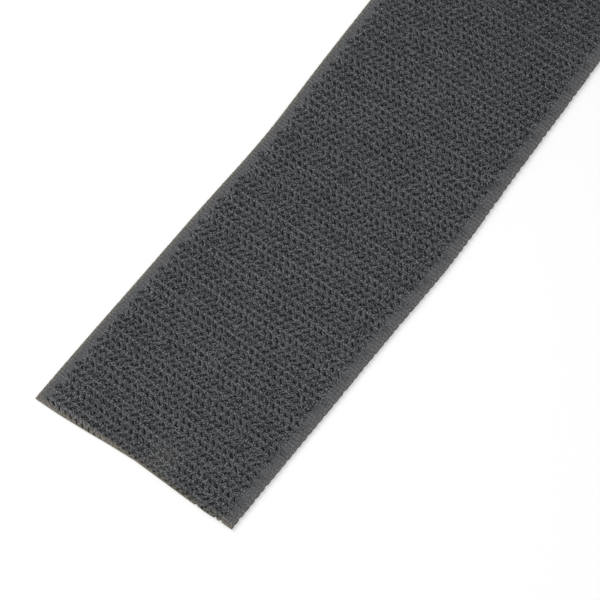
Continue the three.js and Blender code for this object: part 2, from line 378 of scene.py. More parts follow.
def band_map(rows, count, bands):
    """Bake places of a skin's quads. Its length is cut into bands, which lie one above the other."""
    per_band = math.ceil((rows - 1) / bands)
    row = np.arange(rows - 1)[:, None]
    start = row % per_band / per_band
    u = np.stack([start, start + 1 / per_band, start + 1 / per_band, start], -1)
    around = np.linspace(0, SKIN_SHARE, count + 1)
    v = np.stack([around[:-1], around[:-1], around[1:], around[1:]], -1)[None]
    v = (v + (row // per_band)[..., None]) / bands
    return np.stack(np.broadcast_arrays(u, v), -1).reshape(-1, 2)


def loft(name, along, across, height, materials, wall_slots=None, bands=1, shares=None):
    """A closed skin over rows of section points, given by their places on the flat tape. wall_slots holds the
    material slot of each point's strip of quads, where there is more than one material."""
    rows, count = along.shape
    points = tape_points(along, across, height)
    row = np.arange(rows - 1)[:, None]
    col = np.arange(count)[None]
    after = (col + 1) % count
    quads = np.stack([row * count + col, (row + 1) * count + col,
                      (row + 1) * count + after, row * count + after], -1)
    near, far = closing(across[0]), closing(across[-1])[:, ::-1]
    faces = quads.reshape(-1, 4).tolist() + near.tolist() + (far + (rows - 1) * count).tolist()
    wrap = [*range(count), 0]
    tape_map = at_corners(np.stack([across[:, wrap], along[:, wrap]], -1) * MM).reshape(-1, 2)
    bake_map = band_map(rows, count, bands)
    for end, order in ((0, near.ravel()), (-1, far.ravel())):
        side = across[end, order] / TAPE_WIDTH * END_WIDTH + 0.5
        rise = 1 - END_LOW / bands + END_RISE / bands * height[end, order]
        tape_map = np.vstack([tape_map, np.stack([across[end, order], along[end, order]], -1) * MM])
        bake_map = np.vstack([bake_map, np.stack([side, rise], -1)])
    slots = None
    if wall_slots is not None:
        slots = np.concatenate([np.tile(wall_slots, rows - 1), np.full(len(near) + len(far), CUT_SLOT)])
    maps = {"tape": tape_map, "OFBake": bake_map}
    return add_object(name, points, faces, maps, materials, slots, shares=shares)


# Lattice

def scatter(row, column, salt):
    """A number from -1 to 1 that differs from hook to hook, and is always the same for the same hook."""
    by_row, by_column, by_salt = SCATTER_WAVES
    return 2 * (np.sin(row * by_row + column * by_column + salt * by_salt) * SCATTER_GAIN % 1) - 1


def varied(share, row, column, salt):
    """A share that strays from its mean, differently from hook to hook."""
    mean, spread = share
    return mean + spread * scatter(row, column, salt)


def drift(along, across, salt):
    """A number from about -1 to 1 that changes slowly over the tape."""
    waves = sum(np.sin(along * by_along + across * by_across + salt * by_salt)
                for by_along, by_across, by_salt in DRIFT_WAVES)
    return waves / 2


def leans_left(row):
    return row // ROWS_PER_SLANT % 2 == 1


def turned(row):
    """Whether a row's hooks face the other way: every second row's do."""
    return row % 2 == 1


def hook_slant(row, column):
    """Which way a hook lies in plan, as an angle from the line across the tape."""
    mean = np.where(leans_left(row), HOOK_SLANT, -HOOK_SLANT)
    return mean + SLANT_SPREAD * scatter(row, column, SLANT_SALT)


def hook_root(row, column):
    """Along and across of the middle of a hook."""
    kind = np.asarray(row % len(ROW_SHIFTS), int)
    across = (column - MIDDLE_COLUMN) * COLUMN_PITCH + ROW_SHIFTS[kind]
    return FIRST_ROW + row * ROW_PITCH, across * (1 - COLUMN_SQUEEZE * (across / HALF_WIDTH) ** 2)


def in_field(row, column):
    """Every second row is one hook shorter, on the right."""
    return (column >= 1 - row % 2) & (column < HOOK_COLUMNS)


def crush(along, across):
    """How far hooks are pressed flat: 1 in the middle of the worn place, and 0 away from it."""
    away = np.hypot(along - CRUSHED_ALONG, across - CRUSHED_ACROSS)
    return np.exp(-(away / CRUSHED_RADIUS) ** 2)


# Weave

def wave(place, pitch):
    return np.cos(2 * math.pi * place / pitch)


def slit(ahead, aside, slant, size):
    """1 in the middle of a gap that lies at a slant, and 0 beyond its ends and sides."""
    half_length, half_width = size
    length = ahead * np.sin(slant) + aside * np.cos(slant)
    width = ahead * np.cos(slant) - aside * np.sin(slant)
    return np.exp(-(length / half_length) ** 4 - (width / half_width) ** 2)


def hook_gaps(row, column, ahead, aside):
    """1 in the gaps that a hook opens between the threads of the ground, and 0 away from them. Where the row
    leans left, it is one long gap. Where it leans right, two short ones lie under the hook, with its foot
    between them, and the one by its tip is the shallower. The weave sinks in the gaps, and the material
    paints them near black by this share, a painted shade."""
    slant = hook_slant(row, column)
    near_gap, far_gap = [slit(ahead - pit_ahead, aside - pit_aside, turn * slant, PIT_SIZE_RIGHT)
                         for pit_ahead, pit_aside, turn in PITS_RIGHT]
    near_share = np.where(turned(row), TIP_PIT_SHARE, 1)
    far_share = np.where(turned(row), 1, TIP_PIT_SHARE)
    gap = np.maximum(near_gap * near_share, far_gap * far_share)
    gap = np.where(leans_left(row), slit(ahead, aside, slant, PIT_SIZE_LEFT), gap)
    return gap * varied(PIT_SHARE, row, column, PIT_SALT)


def hook_knuckles(row, column, ahead, aside):
    """1 on the knuckles of yarn that stand up beside a hook's gaps, and 0 away from them."""
    left = leans_left(row)
    highest = 0
    for on_left, on_right, salt in zip(KNUCKLES_LEFT, KNUCKLES_RIGHT, KNUCKLE_SALTS):
        knuckle_ahead = ahead - np.where(left, on_left[0], on_right[0])
        knuckle_aside = aside - np.where(left, on_left[1], on_right[1])
        knuckle = np.exp(-(np.hypot(knuckle_ahead, knuckle_aside) / KNUCKLE_RADIUS) ** 2)
        highest = np.maximum(highest, knuckle * varied(KNUCKLE_SHARE, row, column, salt))
    return highest


def pits(along, across):
    """How far a point lies in a gap of any hook, and how far on a knuckle. Where a row leans left, both are
    counted from a place half a column beside the hook."""
    near_row = np.round((along - FIRST_ROW) / ROW_PITCH)
    near_column = np.round(across / COLUMN_PITCH + MIDDLE_COLUMN)
    deepest = np.zeros(np.broadcast(along, across).shape)
    highest = np.zeros_like(deepest)
    for row in (near_row - 1, near_row, near_row + 1):
        beside = np.where(leans_left(row), COLUMN_PITCH / 2, 0)
        for column in (near_column - 1, near_column, near_column + 1, near_column + 2):
            there = in_field(row, column)
            root_along, root_across = hook_root(row, column)
            ahead = along - root_along - PIT_SPREAD * scatter(row, column, PIT_ALONG_SALT)
            aside = across - root_across - beside - PIT_SPREAD * scatter(row, column, PIT_ACROSS_SALT)
            deepest = np.maximum(deepest, np.where(there, hook_gaps(row, column, ahead, aside), 0))
            highest = np.maximum(highest, np.where(there, hook_knuckles(row, column, ahead, aside), 0))
    return deepest, highest * (1 - deepest)


def weave_relief(along, across):
    """Height of the weave's upper side, and how far each of its points lies in a pit or on a crest."""
    rib = RIB_RISE * wave(along, RIB_PITCH)
    from_row = along - FIRST_ROW + RIDGE_SHIFT
    ridge = 0.5 - 0.5 * wave(from_row, ROW_PITCH)
    weft = WEFT_RISE * wave(along, WEFT_PITCH)
    pit, knuckle = pits(along, across)
    # pit is also where the material paints the gaps near black, a painted shade
    pit = pit * (1 - CRUSHED_PITS * crush(along, across))
    ground = -BED_DEPTH + RIDGE_RISE * ridge + weft - PIT_DEPTH * pit + KNUCKLE_RISE * knuckle
    field = np.clip((FIELD_HALF - np.abs(across)) / RIB_PITCH + 0.5, 0, 1)
    pick = np.round(from_row / ROW_PITCH - 0.5)
    # crest is where the material paints a lighter colour, a painted highlight on the weft crests and knuckles
    crest = ridge**CREST_SHARPNESS * (1 - pit) * varied(CREST_SHARE, pick, 0, PICK_SALT)
    crest = field * np.maximum(crest, knuckle)
    return GROUND_TOP + field * ground + (1 - field) * rib, pit, crest


def nick_points():
    """Places across the tape where a section needs points for the nicks in the cut."""
    reach = NICK_WIDTH * np.linspace(-NICK_REACH, NICK_REACH, NICK_POINTS)
    return np.concatenate([place + reach for place, _ in CUT_NICKS])


def weave_section(column_points):
    """Across places of the section's points, and how high each is: 0 at the back and 1 at the hook side."""
    half = HALF_WIDTH - EDGE_ROUND
    selvedge = np.linspace(-half, -FIELD_HALF, SELVEDGE_POINTS)
    field = np.linspace(-FIELD_HALF, FIELD_HALF, column_points * HOOK_COLUMNS + 1)[1:-1]
    top = np.concatenate([selvedge, field, -selvedge[::-1]])
    bottom = np.sort(np.concatenate([np.linspace(-half, half, BACK_POINTS), nick_points()]))[::-1]
    across = np.concatenate([top, [HALF_WIDTH], bottom, [-HALF_WIDTH]])
    level = np.concatenate([np.ones(len(top)), [0.5], np.zeros(len(bottom)), [0.5]])
    return across, level


def scallop(along, across):
    """How far the edge draws in between the weft's loops, a little differently at each. The loops stand out
    on the right, where the weft is caught, and hardly on the left, where it turns back."""
    loop = along / ROW_PITCH + 0.5
    depth = np.where(across > 0, SCALLOP_LEFT, SCALLOP_RIGHT)
    depth = depth * varied(SCALLOP_SHARE, np.round(loop), 0, LOOP_SALT)
    return depth * (1 - np.abs(np.sin(math.pi * loop))) - np.where(across > 0, 0, EDGE_BULGE_RIGHT)


def ragged_cut(across):
    """Small unevenness of the cut, worked out from a few waves so that it is the same each time, and its
    nicks."""
    waves = sum(np.sin(across * by_across + start) for start, by_across in enumerate(RAGGED_WAVES))
    nicks = sum(depth * np.exp(-((across - place) / NICK_WIDTH) ** 2) for place, depth in CUT_NICKS)
    return CUT_RAGGED * waves / len(RAGGED_WAVES) + nicks


def stations(start, stop, step):
    """Even places from start to stop, about a step apart."""
    return np.linspace(start, stop, max(2, round((stop - start) / step) + 1))


def to_cut(along, across):
    """Shifts the rows near the cut end so that the first one follows the cut."""
    share = np.maximum(0, 1 - along / END_LENGTH)
    return along + cut_line(across) * share + ragged_cut(across) * np.maximum(0, 1 - along / ROW_PITCH)


def draw_in(along, across):
    """Moves points of the selvedges in between the weft's loops, most at the edge itself."""
    share = np.clip((np.abs(across) - FIELD_HALF) / SELVEDGE_WIDTH, 0, 1)
    return across - np.sign(across) * share**2 * scallop(along, across)


def weave_strip(name, start, stop, materials, step=FINE_STEP, column_points=FINE_COLUMN_POINTS):
    """The ground weave between two distances from the cut end."""
    section, level = weave_section(column_points)
    rows = stations(start, stop, step)
    across = np.broadcast_to(section, (len(rows), len(section)))
    along = to_cut(rows[:, None], across)
    relief, pit, crest = weave_relief(along, across)
    height = COAT_THICKNESS + level * (relief - COAT_THICKNESS)
    edge = np.clip(1 - (HALF_WIDTH - np.abs(across)) / EDGE_STAIN_WIDTH, 0, 1)
    edge = edge * np.where(across > 0, EDGE_STAIN_LEFT, EDGE_STAIN_RIGHT)
    stain = np.maximum(np.maximum(0, 1 - rows[:, None] / CUT_STAIN), edge)
    stain = np.maximum(stain, CRUSHED_STAIN * crush(along, across))
    # pit paints shade into the gaps, crest paints a highlight on the weft crests and knuckles, and stain is
    # the brown of the cut, the edges and the worn place
    shares = {"pit": pit * level, "crest": crest * level, "stain": stain}
    wall_slots = np.full(len(section), WEAVE_SLOT)
    return loft(name, along, draw_in(along, across), height, materials, wall_slots, shares=shares)


def coat_strip(name, start, stop, materials):
    """The coating on the weave's back, with the weft's ribs showing through it."""
    half = HALF_WIDTH - EDGE_ROUND - SCALLOP_RIGHT
    side = np.sort(np.concatenate([np.linspace(-half, half, COAT_POINTS), nick_points()]))
    section = np.concatenate([side, side[::-1]])
    level = np.concatenate([np.ones(len(side)), np.zeros(len(side))])
    rows = stations(start, stop, COARSE_STEP)
    across = np.broadcast_to(section, (len(rows), len(section)))
    along = to_cut(rows[:, None], across)
    dimple = BACK_RIB_RISE / 2 * (1 + wave(along, RIB_PITCH))
    height = np.where(level > 0, COAT_THICKNESS, dimple)
    return loft(name, along, across, height, materials)


def pile(along, across):
    """1 where hooks that can't be seen fill the space between two turns, in the middle of the tape's width,
    and 0 elsewhere."""
    begun = np.clip((along - WOUND_START - PILE_FROM) / PILE_FADE, 0, 1)
    not_done = np.clip((TAPE_END - PILE_CLEAR_OF_TAB - along) / PILE_FADE, 0, 1)
    inside = np.clip((PILE_HALF + PILE_WALL - np.abs(across)) / PILE_WALL, 0, 1)
    return begun * not_done * inside


def wound_strip(name, materials):
    """The wound turns: the outermost with its ribs and loops, those beneath it in longer steps. The hooks in
    the middle of the width are one raised mass, which keeps light from shining through the roll."""
    shown_end = WOUND_START + 2 * math.pi * OUTER_TURN_RADIUS + SHOWN_PAST_TURN
    shown_rows = stations(LAID_LENGTH, shown_end, COARSE_STEP)
    hidden_rows = np.arange(shown_end + FIRST_HIDDEN_STEP, TAPE_END, HIDDEN_STEP)
    rows = np.concatenate([shown_rows, hidden_rows])
    half = np.array([PILE_HALF / 2, PILE_HALF, PILE_HALF + PILE_WALL, FIELD_HALF, HALF_WIDTH - EDGE_ROUND])
    side = np.concatenate([-half[::-1], [0], half])
    count = len(side)
    section = np.concatenate([side, [HALF_WIDTH], side[::-1], [-HALF_WIDTH]])
    level = np.concatenate([np.ones(count), [0.5], np.zeros(count), [0.5]])
    across = np.broadcast_to(section, (len(rows), len(section)))
    along = np.broadcast_to(rows[:, None], across.shape)
    shown = along < shown_end
    rib = np.where(shown, BACK_RIB_RISE * (1 + wave(along, RIB_PITCH)), 0)
    top = GROUND_TOP + PILE_SHARE * HOOK_HEIGHT * pile(along, across)
    height = np.select([level == 1, level == 0], [top, rib / 2], GROUND_TOP / 2)
    across = np.where(shown, draw_in(along, across), across)
    point = np.arange(len(section))
    wall_slots = np.where((point >= count) & (point < 2 * count + 1), BACK_SLOT, WEAVE_SLOT)
    return loft(name, along, across, height, materials, wall_slots, bands=WOUND_BANDS)


# Hooks

def hook_line():
    """Middle line of a hook in its own plane, from root to cut tip: out, up, and the turn of its section."""
    radius = HOOK_REACH / 2
    spring = HOOK_HEIGHT - radius - FILAMENT_RADIUS
    line = [(-radius * ROOT_SHARE, -ROOT_DEPTH, 0)]
    for turn in np.linspace(0, HOOK_CURL, ARCH_STEPS + 1):
        line.append((-radius * math.cos(turn), spring + radius * math.sin(turn), turn))
    return np.array(line)


def stub_line():
    """The short leg that is left standing where the loop was cut open."""
    foot = HOOK_REACH / 2
    return np.array([(foot * STUB_ROOT_SHARE, -ROOT_DEPTH, 0), (foot * STUB_TIP_SHARE, STUB_HEIGHT, 0)])


def hook_places(start, stop, columns):
    """Row and column of each hook between two distances from the cut end."""
    first, last = [math.ceil((end - FIRST_ROW) / ROW_PITCH) for end in (start, stop)]
    row, column = np.meshgrid(np.arange(first, last), columns, indexing="ij")
    row, column = row.ravel(), column.ravel()
    along, across = hook_root(row, column)
    keep = (along > cut_line(across) + CUT_MARGIN) & in_field(row, column)
    return row[keep], column[keep]


def hook_bases(row, column):
    """How each hook stands: its root, its own axes, and the scales of its reach and its rise."""
    along, across = hook_root(row, column)
    ahead, left, up = tape_axes(along, across)
    slant = hook_slant(row, column) + np.where(turned(row), math.pi, 0)
    out = np.sin(slant)[:, None] * ahead + np.cos(slant)[:, None] * left
    lean = LEAN_SPREAD * (scatter(row, column, LEAN_SALT) + drift(along, across, DRIFT_SALT) / 2)[:, None]
    side = np.cross(up, out)
    up, side = np.cos(lean) * up + np.sin(lean) * side, np.cos(lean) * side - np.sin(lean) * up
    shift_along = ROOT_SPREAD * scatter(row, column, ALONG_SALT)
    shift_across = ROOT_SPREAD * scatter(row, column, ACROSS_SALT)
    root = tape_points(along + shift_along, across + shift_across, np.full(len(row), GROUND_TOP))
    reach_scale = 1 + REACH_SPREAD * scatter(row, column, REACH_SALT)
    lowered = RISE_SPREAD * (1 + scatter(row, column, RISE_SALT))
    rise_scale = 1 - lowered - CRUSH_DEPTH * crush(along, across)
    return root, out, up, side, reach_scale, rise_scale


def tubes(line, radius, sides, bases):
    """Points and faces of one tube for each hook, along its middle line."""
    root, out, up, side, reach_scale, rise_scale = bases
    count, rings = len(root), len(line)
    outs = line[:, 0][None, :, None] * reach_scale[:, None, None]
    ups = line[:, 1][None, :, None] * np.where(line[:, 1] > 0, rise_scale[:, None], 1)[..., None]
    centres = root[:, None] + (outs * out[:, None] + ups * up[:, None]) * MM
    turn = line[:, 2][None, :, None]
    normal = np.cos(turn) * out[:, None] - np.sin(turn) * up[:, None]
    around = (2 * math.pi / sides * np.arange(sides))[None, None, :, None]
    ring = np.cos(around) * normal[:, :, None] + np.sin(around) * side[:, None, None]
    points = centres[:, :, None] + radius * MM * ring
    first = (np.arange(count) * rings * sides)[:, None, None]
    ring_first = first + (np.arange(rings - 1) * sides)[None, :, None]
    here = ring_first + np.arange(sides)[None, None]
    following = ring_first + (np.arange(sides) + 1)[None, None] % sides
    quads = np.stack([here, following, following + sides, here + sides], -1)
    tip = first[:, 0] + (rings - 1) * sides + np.arange(sides)[None]
    foot = first[:, 0] + np.arange(sides)[None, ::-1]
    return points.reshape(-1, 3), quads.reshape(count, -1, 4), tip, foot


def tube_map(count, rings, sides, low, high):
    """Places of a tube's face corners in each hook's own cell of a square map, and of its two ends."""
    cells = math.ceil(math.sqrt(count))
    cell_u = (np.arange(count) % cells)[:, None, None]
    cell_v = (np.arange(count) // cells)[:, None, None]
    ring, side = np.meshgrid(np.arange(rings - 1), np.arange(sides), indexing="ij")
    ring, side = ring.ravel(), side.ravel()
    u = np.stack([side, side + 1, side + 1, side], -1) / sides * CELL_WALL_WIDTH + CELL_START
    v = low + (high - low) * np.stack([ring, ring, ring + 1, ring + 1], -1) / (rings - 1)
    walls = np.stack(np.broadcast_arrays(cell_u + u[None], cell_v + v[None]), -1) / cells
    angle = 2 * math.pi / sides * np.arange(sides)
    end_u = cell_u[..., 0] + (CELL_END_MIDDLE + CELL_END_RADIUS * np.cos(angle))[None]
    end_v = cell_v[..., 0] + ((low + high) / 2 + (high - low) / 4 * np.sin(angle))[None]
    ends = np.stack(np.broadcast_arrays(end_u, end_v), -1) / cells
    return walls, ends


def hooks(name, start, stop, columns, sides, material, stubs=True):
    """Every hook between two distances from the cut end, in the given columns."""
    row, column = hook_places(start, stop, columns)
    bases = hook_bases(row, column)
    parts = [(hook_line(), HOOK_CELL)]
    if stubs:
        parts.append((stub_line(), STUB_CELL))
    points, faces, places, offset = [], [], [], 0
    for line, (low, high) in parts:
        part_points, quads, tip, foot = tubes(line, FILAMENT_RADIUS, sides, bases)
        walls, ends = tube_map(len(row), len(line), sides, low, high)
        points.append(part_points)
        for part_faces in (quads.reshape(-1, 4), tip, foot):
            faces += (part_faces + offset).tolist()
        places += [walls.reshape(-1, 2), ends.reshape(-1, 2), ends.reshape(-1, 2)]
        offset += len(part_points)
    maps = {"OFBake": np.vstack(places)}
    return add_object(name, np.vstack(points), faces, maps, [material], sharp=HOOK_SHARP)


# Core

def core_profile():
    """Radius and place along the axis of the section's points, those of the bore first. Plies show as rings
    on the ends."""
    half = CORE_LENGTH / 2
    level = half - CORE_END_MARGIN
    inner = CORE_RADIUS - CORE_WALL
    rng = np.random.default_rng(CORE_SEED)
    bore = [(inner, y) for y in np.linspace(level, -level, BORE_POINTS)]
    plies = []
    for ply in range(CORE_PLIES):
        low = inner + CORE_WALL * ply / CORE_PLIES
        high = inner + CORE_WALL * (ply + 1) / CORE_PLIES
        depth = rng.uniform(0.0, PLY_UNEVEN)
        plies += [(low + PLY_ROUND, depth), (high - PLY_ROUND, depth)]
        if ply < CORE_PLIES - 1:
            plies.append((high, PLY_GROOVE))
    lower = [(radius, -half + depth) for radius, depth in plies]
    outside = [(CORE_RADIUS, y) for y in np.linspace(-level, level, OUTSIDE_POINTS)]
    upper = [(radius, half - depth) for radius, depth in reversed(plies)]
    return np.array(bore + lower + outside + upper)


def core_tube(name, material):
    """A spiral-wound paper tube, with the seam of its innermost strip in the bore."""
    profile = core_profile()
    angle = np.linspace(0, 2 * math.pi, CORE_SIDES, endpoint=False)[:, None]
    radius, y = profile[:, 0][None], profile[:, 1][None]
    phase = (y + PLY_STRIP * angle / (2 * math.pi)) / PLY_STRIP % 1
    reach = radius + np.where(np.arange(len(profile)) < BORE_POINTS, PLY_LAP * phase, 0)
    points = np.stack([ROLL_X + reach * np.sin(angle), ROLL_Y + y + 0 * angle,
                       ROLL_CENTRE_Z - reach * np.cos(angle)], -1) * MM
    rows, count = points.shape[:2]
    row, col = np.arange(rows)[:, None], np.arange(count)[None]
    after, beside = (row + 1) % rows, (col + 1) % count
    quads = np.stack([row * count + col, row * count + beside,
                      after * count + beside, after * count + col], -1)
    u = np.stack(np.broadcast_arrays(row, row, row + 1, row + 1), -1) / rows
    v = np.stack(np.broadcast_arrays(col, col + 1, col + 1, col), -1) / count
    maps = {"OFBake": np.stack(np.broadcast_arrays(u, v), -1).reshape(-1, 2)}
    return add_object(name, points, quads.reshape(-1, 4).tolist(), maps, [material], sharp=CORE_SHARP)


# Materials

class Nodes:
    """Adds and links the nodes of one material."""

    def __init__(self, name):
        self.material = bpy.data.materials.new(name)
        self.material.use_nodes = True
        self.tree = self.material.node_tree
        self.shader = self.tree.nodes["Principled BSDF"]

    def add(self, kind, values=None, **settings):
        node = self.tree.nodes.new(kind)
        for key, value in settings.items():
            setattr(node, key, value)
        for key, value in (values or {}).items():
            node.inputs[key].default_value = value
        return node

    def link(self, source, target):
        self.tree.links.new(source, target)

    def on_tape(self):
        """Places on the flat tape: across and along, in metres."""
        return self.add("ShaderNodeUVMap", uv_map="tape").outputs["UV"]

    def in_space(self):
        return self.add("ShaderNodeTexCoord").outputs["Object"]

    def share(self, name):
        return self.add("ShaderNodeAttribute", attribute_name=name).outputs["Fac"]

    def noise(self, coordinates, scale, detail=3.0, stretch=(1, 1, 1)):
        scaled = self.add("ShaderNodeMapping", {"Scale": stretch})
        self.link(coordinates, scaled.inputs["Vector"])
        node = self.add("ShaderNodeTexNoise", {"Scale": scale, "Detail": detail, "Roughness": 0.6})
        self.link(scaled.outputs["Vector"], node.inputs["Vector"])
        return node.outputs["Fac"]

    def ramp(self, factor, stops):
        node = self.add("ShaderNodeValToRGB")
        elements = node.color_ramp.elements
        while len(elements) < len(stops):
            elements.new(0.5)
        for element, (position, colour) in zip(elements, stops):
            element.position = position
            element.color = (*colour, 1)
        self.link(factor, node.inputs["Fac"])
        return node.outputs["Color"]

    def blend(self, factor, first, second):
        node = self.add("ShaderNodeMix", data_type="RGBA", blend_type="MIX")
        if isinstance(factor, float):
            node.inputs["Factor"].default_value = factor
        else:
            self.link(factor, node.inputs["Factor"])
        self.link(first, node.inputs["A"])
        self.link(second, node.inputs["B"])
        return node.outputs["Result"]

    def beyond(self, tape, across):
        """1 where a place on the tape lies further from its middle than a distance, and 0 elsewhere."""
        split = self.add("ShaderNodeSeparateXYZ")
        self.link(tape, split.inputs["Vector"])
        side = self.add("ShaderNodeMath", operation="ABSOLUTE")
        self.link(split.outputs["X"], side.inputs[0])
        node = self.add("ShaderNodeMath", {1: across * MM}, operation="GREATER_THAN")
        self.link(side.outputs["Value"], node.inputs[0])
        return node.outputs["Value"]

    def span(self, value, low, high, start=0.0, stop=1.0):
        """A value from low to high, for one that runs from start to stop."""
        limits = {"From Min": start, "From Max": stop, "To Min": low, "To Max": high}
        node = self.add("ShaderNodeMapRange", limits)
        self.link(value, node.inputs["Value"])
        return node.outputs["Result"]

    def colour(self, source):
        self.link(source, self.shader.inputs["Base Color"])

    def roughness(self, value, low, high):
        self.link(self.span(value, low, high), self.shader.inputs["Roughness"])

    def bump(self, height, strength, distance):
        node = self.add("ShaderNodeBump", {"Strength": strength, "Distance": distance * MM})
        self.link(height, node.inputs["Height"])
        self.link(node.outputs["Normal"], self.shader.inputs["Normal"])


COOL = -0.07
WARM_RED = 0.6
WARM_BLUE = 1.1


def grey(level, warmth=0.0):
    return (level * (1 + WARM_RED * warmth), level, level * (1 - WARM_BLUE * warmth))


def weave_material():
    made = Nodes("weave")
    tape = made.on_tape()
    yarn = made.noise(tape, scale=2900, detail=0, stretch=(1, 1.2, 1))
    cloud = made.noise(tape, scale=60, detail=2)
    tone = made.blend(0.05, yarn, cloud)
    selvedge = made.ramp(tone, [(0.38, grey(0.074, COOL / 2)), (0.62, grey(0.166, COOL / 2))])
    ground = made.ramp(tone, [(0.38, grey(0.014, COOL)), (0.5, grey(0.07, COOL)), (0.66, grey(0.23, COOL))])
    # Painted shade: the near-black colour painted into the gaps by the hooks, where shade falls in them
    hollow = made.ramp(tone, [(0.38, grey(0.002, COOL)), (0.62, grey(0.006, COOL))])
    # Painted highlight: a lighter colour on the weft crests and knuckles, standing in for the light their
    # tops catch
    crest_highlight = made.ramp(tone, [(0.38, grey(0.07, COOL)), (0.5, grey(0.15, COOL)), (0.66, grey(0.34, COOL))])
    olive = made.ramp(yarn, [(0.38, (0.136, 0.124, 0.1)), (0.62, (0.304, 0.276, 0.22))])
    colour = made.blend(made.share("crest"), ground, crest_highlight)
    colour = made.blend(made.beyond(tape, FIELD_HALF), colour, selvedge)
    colour = made.blend(made.share("stain"), colour, olive)
    # The pit share blends in the painted shade of the gaps
    painted_pit_shade = made.span(made.share("pit"), low=0.0, high=1.0, start=0.15, stop=0.55)
    made.colour(made.blend(painted_pit_shade, colour, hollow))
    made.roughness(yarn, low=0.6, high=0.85)
    made.bump(yarn, strength=0.5, distance=0.06)
    return made.material


def cut_material():
    made = Nodes("cut_edge")
    fibre = made.noise(made.in_space(), scale=2200)
    made.colour(made.ramp(fibre, [(0.3, (0.14, 0.125, 0.085)), (0.7, (0.32, 0.29, 0.2))]))
    made.roughness(fibre, low=0.55, high=0.8)
    made.bump(fibre, strength=0.5, distance=0.05)
    return made.material


def coat_material():
    made = Nodes("back_coating")
    tape = made.on_tape()
    yarn = made.noise(tape, scale=1500, stretch=(1, 2.2, 1))
    cloud = made.noise(tape, scale=60)
    tone = made.blend(0.5, yarn, cloud)
    made.colour(made.ramp(tone, [(0.3, grey(0.045, 0.06)), (0.7, grey(0.085, 0.1))]))
    made.roughness(cloud, low=0.42, high=0.62)
    made.bump(yarn, strength=0.45, distance=0.05)
    return made.material


def hook_material():
    made = Nodes("hook_filament")
    each = made.noise(made.in_space(), scale=420, detail=1)
    made.colour(made.ramp(each, [(0.38, grey(0.047, COOL)), (0.62, grey(0.142, COOL))]))
    made.roughness(each, low=0.3, high=0.45)
    return made.material


def card_material():
    made = Nodes("core_board")
    place = made.in_space()
    pulp = made.noise(place, scale=900, detail=4, stretch=(1, 0.4, 1))
    cloud = made.noise(place, scale=70)
    tone = made.blend(0.5, pulp, cloud)
    made.colour(made.ramp(tone, [(0.3, (0.3, 0.2, 0.11)), (0.7, (0.46, 0.335, 0.2))]))
    made.roughness(pulp, low=0.75, high=0.95)
    made.bump(pulp, strength=0.35, distance=0.08)
    return made.material


def tab_material():
    made = Nodes("tab_paper")
    crepe = made.noise(made.in_space(), scale=700, stretch=(1, 0.25, 1))
    made.colour(made.ramp(crepe, [(0.3, (0.6, 0.54, 0.41)), (0.7, (0.72, 0.67, 0.54))]))
    made.roughness(crepe, low=0.6, high=0.8)
    made.bump(crepe, strength=0.4, distance=0.06)
    return made.material


# The tape's stretches. The three by the cut each lie about one bend line.
# The stretch after them runs to the edge of the view, and the last on to the roll.

BEND_AT = [LIFTED_LENGTH - line * BEND_LINE_PITCH - JOIN_GAP / 2 for line in range(BEND_LINES)]
ROLL_BEND, MIDDLE_BEND, END_BEND = BEND_AT
HALF_BEND = BEND_LINE_PITCH / 2
END_STOP = END_BEND + HALF_BEND
BEND_STOP = MIDDLE_BEND + HALF_BEND
NEAR_STOP = 104.0
SEEN_STOP = 131.0
EVERY_COLUMN = np.arange(HOOK_COLUMNS)


def bend(piece, line):
    """Works out where the bend about a line starts and ends, and bakes the piece's place into its mesh."""
    start, end = tape_points(np.array([line - HALF_BEND, line + HALF_BEND]), 0.0, 0.0)
    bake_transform(piece)


def dress_stretch(name, start, stop, materials, **mesh):
    """Weave, coating and hooks of one stretch of the laid tape."""
    weave, cut, coat, filament = materials
    web = weave_strip(f"{name}_weave", start, stop, [weave, cut], **mesh)
    backing = coat_strip(f"{name}_coating", start, stop, [coat])
    field = hooks(f"{name}_hooks", start, stop, EVERY_COLUMN, HOOK_SIDES, filament)
    return {"web": web, "back_coat": backing, "hook_field": field}


def dress_laid(materials):
    """The laid length, in stretches about the bend lines and stretches that lie beyond them."""
    bending = (
        ("end", 0.0, END_STOP, "free_end", "bend_2", END_BEND, ("end", "bend_2")),
        ("bend", END_STOP, BEND_STOP, "bend_2", "bend_1", MIDDLE_BEND, ("bend_1",)),
        ("laid", BEND_STOP, NEAR_STOP, "bend_1", "roll", ROLL_BEND, ("laid",)),
    )
    for name, start, stop, first, second, line, nodes in bending:
        for layer, piece in dress_stretch(name, start, stop, materials).items():
            bend(piece, line)
            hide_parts(*[f"{node}_{layer}" for node in nodes])
    coarse = {"step": COARSE_STEP, "column_points": COARSE_COLUMN_POINTS}
    lying = (
        dress_stretch("mid", NEAR_STOP, SEEN_STOP, materials),
        dress_stretch("far", SEEN_STOP, LAID_LENGTH, materials, **coarse),
    )
    for pieces in lying:
        for piece in pieces.values():
            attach(piece, "roll")


def dress_wound(materials):
    """The wound turns, with hooks along both of their edges."""
    weave, cut, coat, filament = materials
    wound = wound_strip("wound_weave", [weave, cut, coat])
    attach(wound, "roll")
    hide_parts("wound_web")
    hooks_from = LAID_LENGTH + ROW_PITCH
    hooks_to = TAPE_END - HOOKS_STOP_BEFORE_END
    sides = (("left", EVERY_COLUMN[-WOUND_COLUMNS:]), ("right", EVERY_COLUMN[:WOUND_COLUMNS]))
    for name, columns in sides:
        field = hooks(f"wound_{name}_hooks", hooks_from, hooks_to, columns, WOUND_HOOK_SIDES, filament,
                      stubs=False)
        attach(field, "roll")


def dress_core():
    """The core, and paper on the tab that holds the tape to it."""
    core = core_tube("core", card_material())
    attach(core, "roll")
    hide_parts("core_tube")
    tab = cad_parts["start_tab"]
    tab.data.materials.clear()
    tab.data.materials.append(tab_material())


# Stage, light and camera. The floor and the lights are in metres. Each light has a place from the middle of
# the view, a size, and a power in watts.

